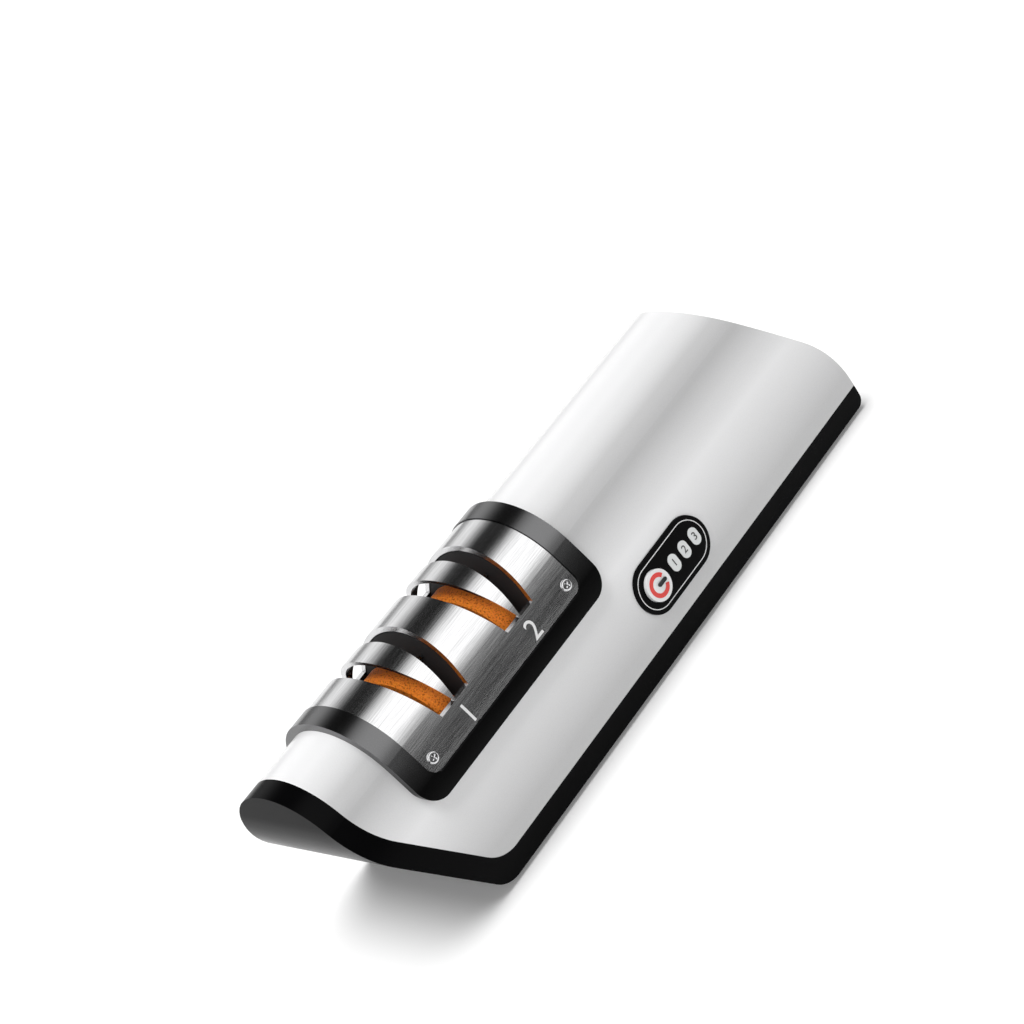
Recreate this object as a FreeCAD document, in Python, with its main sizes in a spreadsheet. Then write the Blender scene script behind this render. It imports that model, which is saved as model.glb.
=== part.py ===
"""Electric knife sharpener: an arched bar with a slotted sharpening head, a motor and a push button.

The bar lies along X. The sharpening head is at the -X end, the button is on the front wall (-Y),
and Z points up from the surface that the rubber feet stand on.
"""
import FreeCAD, Part
import math
import os
import re
import Sketcher

# Driving sizes, in millimetres and degrees.
SIZES = {
    # Housing: a bar with an arched section and raked ends.
    "body_length": 194.4,
    "half_width": 26.0,
    "body_height": 52.0,
    "crown_radius": 18.0,
    "rake": 35.0,
    "end_inset": 24.2,
    "nose_radius": 30.0,
    "toe_radius": 8.0,
    "heel_radius": 2.5,
    "band": 5.8,
    "band_corner": 10.0,
    "wall": 2.0,
    "floor": 2.5,
    "foot_gap": 1.2,
    "fit": 0.3,
    # Head frame and slotted cover.
    "head_start": -76.1,
    "head_length": 75.3,
    "head_edge": 28.6,
    "head_proud": 2.1,
    "frame_band": 6.1,
    "frame_front_band": 4.6,
    "frame_corner": 6.0,
    "ledge": 0.5,
    "ledge_width": 2.5,
    "cover_corner": 3.0,
    "cover_sink": 0.3,
    "cover_clearance": 0.15,
    "opening_margin": 2.5,
    # Slots, one V pair for each stage.
    "coarse_place": -52.3,
    "fine_place": -24.8,
    "slot_angle": 13.0,
    "slot_root": 28.0,
    "slot_width": 5.0,
    "slot_floor": 40.0,
    # Blade guides.
    "cheek": 2.4,
    "cheek_bend": 36.0,
    "cheek_foot": 14.0,
    "guide_hole": 9.0,
    "rail_top": 24.0,
    "rail_inside": 18.7,
    "guide_clearance": 0.1,
    "spring_radius": 7.0,
    "spring_wire": 0.6,
    "spring_height": 41.0,
    "spring_reach": 10.0,
    # Shaft, wheels and bearings.
    "axis_height": 29.5,
    "shaft_radius": 2.0,
    "shaft_start": -69.0,
    "shaft_end": 0.0,
    "wheel_radius": 17.5,
    "wheel_width": 6.0,
    "wheel_bevel": 0.8,
    "hub_radius": 5.0,
    "hub_width": 7.6,
    "hub_flange_radius": 7.0,
    "hub_flange": 0.8,
    "spacer_radius": 3.2,
    "bearing_radius": 4.5,
    "bearing_width": 4.0,
    "near_bearing_place": -64.5,
    "far_bearing_place": -10.0,
    "running_gap": 0.05,
    "race": 1.0,
    # Chassis and motor.
    "chassis_plate": 2.0,
    "chassis_half_width": 15.4,
    "chassis_end": 38.0,
    "post_half_width": 9.0,
    "post_top_margin": 3.5,
    "coupling_radius": 4.4,
    "coupling_start": -4.0,
    "coupling_length": 10.0,
    "motor_start": 8.0,
    "motor_length": 30.0,
    "motor_radius": 12.0,
    "motor_wall": 1.0,
    "motor_chamfer": 0.8,
    "motor_boss_radius": 4.0,
    "motor_boss": 1.5,
    "motor_shaft_radius": 1.5,
    "magnet": 1.6,
    "armature_gap": 0.5,
    "end_bell": 4.0,
    "terminal_height": 4.0,
    "terminal_width": 2.0,
    "terminal_thickness": 0.4,
    "terminal_spread": 5.0,
    "magnet_gap": 2.0,
    "saddle": 3.0,
    "saddle_inset": 2.5,
    # Cells and their cradle.
    "cell_radius": 7.0,
    "cell_length": 43.0,
    "cell_start": 41.5,
    "cell_half_pitch": 7.6,
    "cell_tip_radius": 2.6,
    "cell_tip": 1.2,
    "cell_chamfer": 0.8,
    "cradle_wall": 1.2,
    "cradle_window_inset": 8.0,
    "cradle_lip": 3.0,
    # Button panel on the front wall.
    "panel_place": 16.9,
    "panel_height": 17.4,
    "panel_radius": 6.9,
    "panel_half_straight": 7.8,
    "panel_proud": 0.5,
    "panel_flange": 1.4,
    "panel_flange_depth": 1.0,
    "button_place": 9.5,
    "button_radius": 4.1,
    "button_proud": 0.9,
    "button_collar": 0.7,
    "button_collar_depth": 0.8,
    "button_gap": 0.1,
    "button_travel": 0.5,
    "button_lift": 0.3,
    "stem_radius": 1.5,
    "lens_pitch": 4.75,
    "lens_first": 17.6,
    "lens_half_height": 2.4,
    "lens_half_width": 1.6,
    "lens_proud": 0.15,
    "board_length": 30.0,
    "board_height": 13.0,
    "board_thickness": 1.2,
    "board_gap": 3.2,
    "switch_side": 6.0,
    "switch_height": 1.9,
    "plunger_radius": 1.2,
    "lamp_side": 1.6,
    "lamp_height": 1.0,
    # Charging socket in the back wall.
    "socket_place": 62.0,
    "socket_height": 14.0,
    "socket_half_length": 4.5,
    "socket_half_height": 1.6,
    "socket_depth": 5.0,
    "socket_shell": 0.5,
    "charge_board_length": 18.0,
    "charge_board_gap": 1.0,
    "charge_board_rise": 4.0,
    # Screws and feet.
    "cover_screw_inset": 3.2,
    "cover_screw_height": 35.6,
    "cover_screw_radius": 1.45,
    "cover_screw_head": 0.7,
    "cover_screw_shank": 0.8,
    "cover_screw_length": 3.2,
    "cover_screw_proud": 0.2,
    "base_screw_radius": 2.4,
    "base_screw_head": 1.2,
    "base_screw_shank": 1.1,
    "base_screw_length": 6.0,
    "base_boss_radius": 3.6,
    "base_boss_height": 4.0,
    "base_screw_near": -55.0,
    "base_screw_far": 78.0,
    "base_screw_inset": 5.4,
    "foot_radius": 4.5,
    "foot_recess": 0.8,
    "foot_near": -63.0,
    "foot_far": 86.0,
    "foot_side": 15.5,
}

doc = FreeCAD.newDocument("knife_sharpener")
sheet = doc.addObject("Spreadsheet::Sheet", "Sizes")
for row, (alias, size) in enumerate(SIZES.items(), start=1):
    sheet.set(f"A{row}", alias)
    sheet.set(f"B{row}", str(size))
    sheet.setAlias(f"B{row}", alias)
doc.recompute()

SUBPARTS = []
SIDE_VIEW = FreeCAD.Rotation(FreeCAD.Vector(1, 0, 0), 90)
CROSS_SECTION = FreeCAD.Rotation(FreeCAD.Vector(1, 1, 1), 120)
X_AXIS = FreeCAD.Vector(1, 0, 0)
Y_AXIS = FreeCAD.Vector(0, 1, 0)
Z_AXIS = FreeCAD.Vector(0, 0, 1)

# The arched section has a crown arc and two side arcs. The side arcs start upright at the base,
# and their centres lie this far beyond the middle of the bar.
SIDE_CENTRE = (
    "((half_width^2 + (body_height - crown_radius)^2 - crown_radius^2)"
    " / (2 * (half_width - crown_radius)) - half_width)"
)
SIDE_RADIUS = f"({SIDE_CENTRE} + half_width)"
TOP = "(body_height + 20)"
AXIS_END = "(body_length / 2)"


def formula(text):
    """Turn the names of sizes in a formula into references to the sheet."""
    return re.sub(r"[a-z_]+", lambda m: "Sizes." + m[0] if m[0] in SIZES else m[0], str(text))


def value(text):
    """Work out a formula as a plain number."""
    return float(sheet.evalExpression(formula(text)))


def bind(thing, **settings):
    """Bind properties of an object to formulas of the sheet."""
    for name, text in settings.items():
        thing.setExpression(name, formula(text))
    return thing


def place(thing, x="0", y="0", z="0", rotation=None):
    """Put an object at a place given by formulas, with a fixed rotation."""
    thing.Placement = FreeCAD.Placement(FreeCAD.Vector(value(x), value(y), value(z)),
                                        rotation or FreeCAD.Rotation())
    for axis, text in zip("xyz", (x, y, z)):
        thing.setExpression(f".Placement.Base.{axis}", formula(text))
    return thing


def finish(thing, node):
    """Lift a finished sub-part by the gap under the feet and name it."""
    lifted = doc.addObject("Part::Compound", node)
    lifted.Links = [thing]
    lifted.Label = node
    place(lifted, z="foot_gap")
    SUBPARTS.append(lifted)
    return lifted


def outline(name, rotation, corners):
    """Sketch a closed outline. Each corner is (x, y) or (x, y, rounding radius), as formulas."""
    sketch = doc.addObject("Sketcher::SketchObject", name)
    sketch.Placement = FreeCAD.Placement(FreeCAD.Vector(), rotation)
    points = [FreeCAD.Vector(value(c[0]), value(c[1]), 0) for c in corners]
    count = len(points)
    radii = [value(c[2]) if len(c) > 2 else 0.0 for c in corners]
    trims = []
    for i, radius in enumerate(radii):
        back = (points[i - 1] - points[i]).normalize()
        ahead = (points[(i + 1) % count] - points[i]).normalize()
        half_angle = back.getAngle(ahead) / 2
        reach = radius / math.tan(half_angle) if radius else 0.0
        middle = points[i] + (back + ahead).normalize() * (radius / math.sin(half_angle)) if radius else None
        trims.append((points[i] + back * reach, points[i] + ahead * reach, middle))
    lines = [sketch.addGeometry(Part.LineSegment(trims[i][1], trims[(i + 1) % count][0]))
             for i in range(count)]
    for i, corner in enumerate(corners):
        before, after = lines[i - 1], lines[i]
        if not radii[i]:
            sketch.addConstraint(Sketcher.Constraint("Coincident", before, 2, after, 1))
            pin_point(sketch, after, 1, corner)
            continue
        start, end, middle = trims[i]
        turns_left = (start - middle).cross(end - middle).z > 0
        first, last = (1, 2) if turns_left else (2, 1)
        angles = [math.atan2(point.y - middle.y, point.x - middle.x) for point in (start, end)]
        circle = Part.Circle(middle, Z_AXIS, radii[i])
        arc = sketch.addGeometry(Part.ArcOfCircle(circle, angles[first - 1], angles[last - 1]))
        mark = sketch.addGeometry(Part.Point(points[i]), True)
        sketch.addConstraint(Sketcher.Constraint("Tangent", before, 2, arc, first))
        sketch.addConstraint(Sketcher.Constraint("Tangent", arc, last, after, 1))
        sketch.addConstraint(Sketcher.Constraint("PointOnObject", mark, 1, before))
        sketch.addConstraint(Sketcher.Constraint("PointOnObject", mark, 1, after))
        pin_point(sketch, mark, 1, corner)
        bound = sketch.addConstraint(Sketcher.Constraint("Radius", arc, radii[i]))
        sketch.setExpression(f"Constraints[{bound}]", formula(corner[2]))
    return sketch


def pin_point(sketch, geometry, end, corner):
    """Hold a point of a sketch at the place that two formulas give."""
    for kind, text in zip(("DistanceX", "DistanceY"), corner):
        bound = sketch.addConstraint(Sketcher.Constraint(kind, geometry, end, value(text)))
        sketch.setExpression(f"Constraints[{bound}]", formula(text))


def slab(name, corners, half_depth="half_width + 20"):
    """Extrude an outline drawn in side view, in X and Z, through the bar's width."""
    sketch = outline(f"{name}_outline", SIDE_VIEW, corners)
    solid = doc.addObject("Part::Extrusion", name)
    solid.Base = sketch
    solid.DirMode = "Custom"
    solid.Dir = Y_AXIS
    solid.Solid = True
    solid.Symmetric = True
    return bind(solid, LengthFwd=f"2 * ({half_depth})")


def arch(name, offset="0", floor="0"):
    """Extrude the arched section, grown outwards by an offset, along the whole bar."""
    sketch = doc.addObject("Sketcher::SketchObject", f"{name}_section")
    sketch.Placement = FreeCAD.Placement(FreeCAD.Vector(), CROSS_SECTION)
    side, crown = value(f"{SIDE_RADIUS} + {offset}"), value(f"crown_radius + {offset}")
    reach, rise = value(SIDE_CENTRE), value("body_height - crown_radius")
    lean = math.atan2(rise, reach)
    base = math.asin(value(floor) / side)
    right, left = FreeCAD.Vector(-reach, 0, 0), FreeCAD.Vector(reach, 0, 0)
    top = FreeCAD.Vector(0, rise, 0)
    half = side * math.cos(base) - reach
    line = sketch.addGeometry(Part.LineSegment(FreeCAD.Vector(-half, value(floor), 0),
                                               FreeCAD.Vector(half, value(floor), 0)))
    arcs = [sketch.addGeometry(Part.ArcOfCircle(Part.Circle(centre, Z_AXIS, radius), start, end))
            for centre, radius, start, end in ((right, side, base, lean), (top, crown, lean, math.pi - lean),
                                               (left, side, math.pi - lean, math.pi - base))]
    sketch.addConstraint(Sketcher.Constraint("Coincident", line, 2, arcs[0], 1))
    sketch.addConstraint(Sketcher.Constraint("Tangent", arcs[0], 2, arcs[1], 1))
    sketch.addConstraint(Sketcher.Constraint("Tangent", arcs[1], 2, arcs[2], 1))
    sketch.addConstraint(Sketcher.Constraint("Coincident", arcs[2], 2, line, 1))
    sketch.addConstraint(Sketcher.Constraint("Horizontal", line))
    pin_point(sketch, arcs[0], 3, (f"0 - {SIDE_CENTRE}", "0"))
    pin_point(sketch, arcs[2], 3, (SIDE_CENTRE, "0"))
    pin_point(sketch, arcs[1], 3, ("0", "body_height - crown_radius"))
    for kind, geometry, end, text in (("Radius", arcs[1], None, f"crown_radius + {offset}"),
                                      ("DistanceY", line, 1, floor)):
        keys = (kind, geometry, value(text)) if end is None else (kind, geometry, end, value(text))
        bound = sketch.addConstraint(Sketcher.Constraint(*keys))
        sketch.setExpression(f"Constraints[{bound}]", formula(text))
    solid = doc.addObject("Part::Extrusion", name)
    solid.Base = sketch
    solid.DirMode = "Custom"
    solid.Dir = X_AXIS
    solid.Solid = True
    return bind(solid, LengthFwd="body_length / 2 + 10", LengthRev="body_length / 2 + 10")


def turned(name, profile, rotation=None, x="0", y="0", z="0"):
    """Revolve a profile of (along, radius) corners about the local X axis, then place it."""
    sketch = outline(f"{name}_profile", FreeCAD.Rotation(), profile)
    solid = doc.addObject("Part::Revolution", name)
    solid.Source = sketch
    solid.Axis = X_AXIS
    solid.Angle = 360
    solid.Solid = True
    return place(solid, x, y, z, rotation)


def box(name, x, y, z, length, width, height, rotation=None):
    """Make a block from its lowest corner and its sizes."""
    solid = bind(doc.addObject("Part::Box", name), Length=length, Width=width, Height=height)
    return place(solid, x, y, z, rotation)


def rod(name, radius, length, rotation, x="0", y="0", z="0"):
    """Make a plain cylinder along the local Z axis, then place it."""
    solid = bind(doc.addObject("Part::Cylinder", name), Radius=radius, Height=length)
    return place(solid, x, y, z, rotation)


def cut(name, base, tool):
    """Take one solid away from another."""
    result = doc.addObject("Part::Cut", name)
    result.Base = base
    result.Tool = tool
    return result


def fuse(name, *solids):
    """Join solids into one."""
    result = doc.addObject("Part::MultiFuse", name)
    result.Shapes = list(solids)
    result.Refine = True
    return result


def common(name, *solids):
    """Keep what all the solids share."""
    result = doc.addObject("Part::MultiCommon", name)
    result.Shapes = list(solids)
    return result


def group(name, *solids):
    """Gather separate solids without joining them."""
    result = doc.addObject("Part::Compound", name)
    result.Links = list(solids)
    return result


# Directions that pieces are turned to. ALONG lays a local Z axis along X.
ALONG = FreeCAD.Rotation(Y_AXIS, 90)
UPRIGHT = FreeCAD.Rotation(Y_AXIS, -90)
NEAR_RAKE = "tan(rake)"

# Heights at which the raked ends turn upright.
NEAR_TURN = f"(end_inset / {NEAR_RAKE})"
FAR_TURN = f"(body_height - end_inset / {NEAR_RAKE})"


def end_outline(inset):
    """Corners of the far end, moved inwards by an inset, from the top down to the nose."""
    shift = f"({inset}) / cos(rake)"
    top_x = f"{AXIS_END} - end_inset - ({TOP} - body_height) * {NEAR_RAKE} - {shift}"
    turn = f"{FAR_TURN} + ({inset}) * (1 - 1 / cos(rake)) / {NEAR_RAKE}"
    return [(top_x, TOP), (f"{AXIS_END} - ({inset})", turn, f"nose_radius - ({inset})")]


# Side view of the whole housing: toe, near nose, top, far nose, heel.
body_side = slab("body_side", [
    (f"end_inset - {AXIS_END}", "0", "toe_radius"),
    (f"0 - {AXIS_END}", NEAR_TURN, "nose_radius"),
    (f"0 - {AXIS_END}", TOP),
    *end_outline("0"),
    (AXIS_END, "0", "heel_radius"),
])

# Side view of the space inside the black band: the bright shell fills it.
INNER_TOE = f"end_inset - {AXIS_END} + band / cos(rake) - band * {NEAR_RAKE}"
INNER_TURN = f"(end_inset + band / cos(rake) - band) / {NEAR_RAKE}"
shell_side = slab("shell_side", [
    (INNER_TOE, "band", "band_corner"),
    (f"band - {AXIS_END}", INNER_TURN, "nose_radius - band"),
    (f"band - {AXIS_END}", TOP),
    (f"{AXIS_END} + 10", TOP),
    (f"{AXIS_END} + 10", "band"),
])

cavity_side = slab("cavity_side", [
    (f"0 - {AXIS_END} - 10", "0"),
    (f"0 - {AXIS_END} - 10", TOP),
    *end_outline("wall"),
    (f"{AXIS_END} - wall", "0"),
])

bar = arch("bar")
bar_inside = arch("bar_inside", "(0 - wall)")
body_block = common("body_block", bar, body_side)


def head_slab(name, margin, edge, corner):
    """Side view of the head, drawn in by a margin along X, from an edge height upwards."""
    start, end = f"head_start + {margin}", f"head_start + head_length - {margin}"
    return slab(name, [(start, edge, corner), (start, TOP), (end, TOP), (end, edge, corner)])


def pill(name, grow, depth_start, depth):
    """The panel's outline as a solid: two round ends and a straight middle."""
    left = "panel_place - panel_half_straight"
    right = "panel_place + panel_half_straight"
    turn = FreeCAD.Rotation(X_AXIS, -90)
    return fuse(
        name,
        rod(f"{name}_left", f"panel_radius + {grow}", depth, turn, left, depth_start, "panel_height"),
        rod(f"{name}_right", f"panel_radius + {grow}", depth, turn, right, depth_start, "panel_height"),
        box(f"{name}_middle", left, depth_start, f"panel_height - panel_radius - {grow}",
            "2 * panel_half_straight", depth, f"2 * (panel_radius + {grow})"),
    )


def base_screw_places():
    """Yield the places of the four base screws in plan."""
    for x in ("base_screw_near", "base_screw_far"):
        for side in ("base_screw_inset - half_width", "half_width - base_screw_inset"):
            yield x, side


def foot_places():
    """Yield the places of the four feet in plan."""
    for x in ("foot_near", "foot_far"):
        for side in ("0 - foot_side", "foot_side"):
            yield x, side


def make_base_tray():
    """Black lower tray: a strip along the walls and a raked end wall that follows the arch."""
    rim = cut("tray_rim", body_block, shell_side)
    hollow = common("tray_hollow", arch("tray_inside", "(0 - wall - wall)"),
                    slab("tray_hollow_side", [
                        (f"{INNER_TOE} + wall", "floor"),
                        (f"{INNER_TOE} + wall", "band + 1"),
                        (f"{AXIS_END} - 2 * wall", "band + 1"),
                        (f"{AXIS_END} - 2 * wall", "floor"),
                    ]))
    tray = cut("tray_open", rim, hollow)
    bosses = [rod(f"tray_boss_{i}", "base_boss_radius", "band - floor + 0.01", None, x, y, "floor - 0.01")
              for i, (x, y) in enumerate(base_screw_places())]
    tray = fuse("tray_bossed", tray, *bosses)
    recesses = [rod(f"foot_recess_{i}", "foot_radius", "foot_recess", None, x, y)
                for i, (x, y) in enumerate(foot_places())]
    holes = []
    for i, (x, y) in enumerate(base_screw_places()):
        holes.append(rod(f"tray_hole_{i}", "base_screw_shank", "band + 1", None, x, y))
        holes.append(rod(f"tray_counterbore_{i}", "base_screw_radius", "base_screw_head", None, x, y))
    finish(cut("tray_body", tray, group("tray_cuts", *recesses, *holes)), "base_tray")


def make_upper_shell():
    """Bright arched cover, open under the head and at the near end, with bosses for the screws."""
    outside = common("shell_outside", body_block, shell_side)
    inside = common("shell_inside", bar_inside, cavity_side)
    skin = cut("shell_skin", outside, inside)
    bosses = []
    for i, (x, y) in enumerate(base_screw_places()):
        bosses.append(rod(f"shell_boss_{i}", "base_boss_radius", "base_boss_height", None, x, y, "band"))
    trimmed = common("shell_bosses", group("shell_boss_group", *bosses), body_block)
    skin = fuse("shell_bossed", skin, trimmed)
    head = head_slab("shell_head_cut", "opening_margin", "head_edge + opening_margin", "frame_corner")
    panel_hole = pill("shell_panel_hole", "0", "0 - half_width - 5", "15")
    socket = box("shell_socket_hole", "socket_place - socket_half_length - socket_shell", "half_width - 8",
                 "socket_height - socket_half_height - socket_shell",
                 "2 * (socket_half_length + socket_shell)", "20",
                 "2 * (socket_half_height + socket_shell)")
    holes = [rod(f"shell_hole_{i}", "base_screw_shank", "base_boss_height - 1", None, x, y, "band")
             for i, (x, y) in enumerate(base_screw_places())]
    cuts = group("shell_cuts", head, panel_hole, socket, *holes)
    finish(cut("shell_body", skin, cuts), "upper_shell")


def make_head():
    """Black head frame, its steel cover with four slanted slots, and the cover's screws."""
    outside = arch("head_outside", "head_proud")
    ledge = arch("head_ledge", "ledge")
    frame_side = head_slab("frame_side", "0", "head_edge", "frame_corner")
    ring = cut("frame_ring", common("frame_block", outside, frame_side), bar)
    seat_edge = "head_edge + frame_front_band"
    seat = common("cover_seat", cut("seat_band", arch("seat_outside", "head_proud + 2"), ledge),
                  head_slab("seat_side", "(frame_band - cover_clearance)",
                            f"{seat_edge} - cover_clearance", "cover_corner + cover_clearance"))
    window = head_slab("frame_window", "(frame_band + ledge_width)", f"{seat_edge} + ledge_width",
                       "cover_corner")
    screw_holes = group("cover_screw_holes", *cover_screws("hole", "0"))
    frame = cut("frame_body", ring, group("frame_cuts", seat, window, screw_holes))
    finish(frame, "head_frame")

    blank = common("cover_blank", arch("cover_outside", "head_proud - cover_sink"),
                   head_slab("cover_side", "frame_band", seat_edge, "cover_corner"))
    plate = cut("cover_plate", blank, ledge)
    slots = [slot(f"slot_{stage}_{side}", place_x, side)
             for stage, place_x in STAGES for side in SIDES]
    finish(cut("cover_body", plate, group("cover_cuts", *slots, screw_holes)), "slot_cover")
    finish(group("cover_screw_set", *cover_screws("screw", "0")), "cover_screws")


STAGES = (("coarse", "coarse_place"), ("fine", "fine_place"))
SIDES = (-1, 1)


def slant(height):
    """Distance of a slot's middle from its stage's middle at a height."""
    return f"({height} - slot_root) * tan(slot_angle)"


def slot(name, stage_place, side):
    """A slanted slot through the crown, as the solid that it removes."""
    half = "slot_width / 2 / cos(slot_angle)"
    corners = []
    for height, edges in (("slot_floor", (-1, 1)), (TOP, (1, -1))):
        for edge in edges:
            corners.append((f"{stage_place} + {side} * {slant(height)} + {edge} * {half}", height))
    return slab(name, corners)


def cover_screws(kind, sink):
    """Round-headed screws square to the arch at the corners of the cover."""
    profile = [
        ("0", "0"),
        ("0", "cover_screw_shank"),
        ("cover_screw_length - cover_screw_head", "cover_screw_shank"),
        ("cover_screw_length - cover_screw_head", "cover_screw_radius"),
        ("cover_screw_length", "cover_screw_radius"),
        ("cover_screw_length", "0"),
    ]
    tilt = math.degrees(math.asin(value("cover_screw_height") / value(SIDE_RADIUS)))
    radius = f"({SIDE_RADIUS} + head_proud - cover_sink + cover_screw_proud - cover_screw_length)"
    screws = []
    for i, x in enumerate(("head_start + frame_band + cover_screw_inset",
                           "head_start + head_length - frame_band - cover_screw_inset")):
        for side in (-1, 1):
            angle = f"asin(cover_screw_height / {SIDE_RADIUS})"
            y = f"{side} * ({radius} * cos({angle}) - {SIDE_CENTRE})"
            z = f"{radius} * sin({angle})"
            outward = FreeCAD.Vector(0, side * math.cos(math.radians(tilt)), math.sin(math.radians(tilt)))
            screws.append(turned(f"cover_{kind}_{i}_{side + 1}", profile,
                                 FreeCAD.Rotation(X_AXIS, outward), x, y, z))
    return screws


def make_guides():
    """One black frame with four slanted cheeks that lead the blade, and its wire springs."""
    low_block = arch("guide_low_block", "(0 - wall - fit)")
    high_block = arch("guide_high_block", "0.2", "cheek_bend")
    near_wall = "near_bearing_place + bearing_width / 2"
    far_wall = "far_bearing_place - bearing_width / 2"
    cheeks = []
    for stage, place_x in STAGES:
        for side in SIDES:
            inner = "slot_width / 2 / cos(slot_angle) + guide_clearance"
            bend = f"{slant('cheek_bend')} + {inner}"
            tip = f"{slant(TOP)} + {inner}"
            corners = [(bend, "cheek_foot"), (bend, "cheek_bend"), (tip, TOP), (f"{tip} + cheek", TOP),
                       (f"{bend} + cheek", "cheek_bend"), (f"{bend} + cheek", "cheek_foot")]
            wall_side = slab(f"cheek_{stage}_{side + 1}",
                             [(f"{place_x} + {side} * ({x})", z) for x, z in corners])
            cheeks.append(common(f"cheek_low_{stage}_{side + 1}", wall_side, low_block))
            cheeks.append(common(f"cheek_high_{stage}_{side + 1}", wall_side, high_block))
    rails = []
    for side in SIDES:
        y = "rail_inside" if side > 0 else "0 - rail_inside - 5"
        rails.append(box(f"rail_{side + 1}", near_wall, y, "cheek_foot",
                         f"{far_wall} - ({near_wall})", "5", "rail_top - cheek_foot"))
    rail_set = common("guide_rails", group("rail_pair", *rails), low_block)
    hole = rod("guide_hole", "guide_hole", "head_length", ALONG, "head_start", "0", "axis_height")
    throat = box("guide_throat", "head_start", "0 - guide_hole", "0", "head_length", "2 * guide_hole",
                 "axis_height")
    body = fuse("guide_body", rail_set, *cheeks)
    finish(cut("guide_open", body, group("guide_cuts", hole, throat)), "blade_guide")

    springs = []
    for stage, place_x in STAGES:
        lean = FreeCAD.Rotation(Y_AXIS, 90 + SIZES["slot_angle"])
        inner = "(slot_width / 2 - spring_wire) / cos(slot_angle)"
        x = f"{place_x} + {slant('spring_height')} + {inner}"
        bows = []
        for name, radius in (("outer", "spring_radius"), ("inner", "spring_radius - spring_wire")):
            bow = rod(f"spring_{stage}_{name}", radius, "spring_wire", lean, x, "0 - spring_reach",
                      "spring_height")
            bow.Angle = 150
            bows.append(bow)
        springs.append(cut(f"spring_{stage}", *bows))
    finish(group("spring_set", *springs), "guide_springs")


def ring(name, inner, outer, start, length, bevel=None):
    """A turned ring about the shaft's axis."""
    end = f"{start} + {length}"
    profile = [(start, inner), (start, outer), (end, outer), (end, inner)]
    if bevel:
        profile = [(start, inner), (start, f"{outer} - {bevel}"), (f"{start} + {bevel}", outer),
                   (f"{end} - {bevel}", outer), (end, f"{outer} - {bevel}"), (end, inner)]
    return turned(name, profile, None, "0", "0", "axis_height")


def make_drive():
    """Shaft, abrasive wheels, hubs, spacer, coupling and bearings on one axis."""
    finish(turned("shaft_rod", [
        ("shaft_start", "0"), ("shaft_start", "shaft_radius - 0.4"), ("shaft_start + 0.4", "shaft_radius"),
        ("shaft_end - 0.4", "shaft_radius"), ("shaft_end", "shaft_radius - 0.4"), ("shaft_end", "0"),
    ], None, "0", "0", "axis_height"), "drive_shaft")
    for stage, place_x in STAGES:
        start = f"{place_x} - wheel_width / 2"
        finish(ring(f"{stage}_disc", "hub_radius", "wheel_radius", start, "wheel_width", "wheel_bevel"),
               f"{stage}_wheel")
        hub_start = f"{start} - hub_flange"
        hub_end = f"{hub_start} + hub_width"
        finish(turned(f"{stage}_hub_body", [
            (hub_start, "shaft_radius"), (hub_start, "hub_flange_radius"), (start, "hub_flange_radius"),
            (start, "hub_radius"), (hub_end, "hub_radius"), (hub_end, "shaft_radius"),
        ], None, "0", "0", "axis_height"), f"{stage}_hub")
    spacer_start = "coarse_place - wheel_width / 2 - hub_flange + hub_width"
    spacer_end = "fine_place - wheel_width / 2 - hub_flange"
    finish(ring("spacer_tube", "shaft_radius", "spacer_radius", spacer_start,
                f"{spacer_end} - ({spacer_start})"), "shaft_spacer")
    for name in ("near", "far"):
        middle = f"{name}_bearing_place"
        start, end = f"{middle} - bearing_width / 2", f"{middle} + bearing_width / 2"
        bore = "shaft_radius + running_gap"
        finish(turned(f"{name}_bearing_body", [
            (start, bore), (start, f"{bore} + race / 2"), (f"{start} + 0.3", f"{bore} + race / 2"),
            (f"{start} + 0.3", "bearing_radius - race / 2"), (start, "bearing_radius - race / 2"),
            (start, "bearing_radius"), (end, "bearing_radius"), (end, "bearing_radius - race / 2"),
            (f"{end} - 0.3", "bearing_radius - race / 2"), (f"{end} - 0.3", f"{bore} + race / 2"),
            (end, f"{bore} + race / 2"), (end, bore),
        ], None, "0", "0", "axis_height"), f"{name}_bearing")
    coupling_end = "coupling_start + coupling_length"
    finish(turned("coupling_body", [
        ("coupling_start", "shaft_radius"), ("coupling_start", "coupling_radius"),
        (coupling_end, "coupling_radius"), (coupling_end, "motor_shaft_radius"),
        ("shaft_end", "motor_shaft_radius"), ("shaft_end", "shaft_radius"),
    ], None, "0", "0", "axis_height"), "shaft_coupling")


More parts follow.
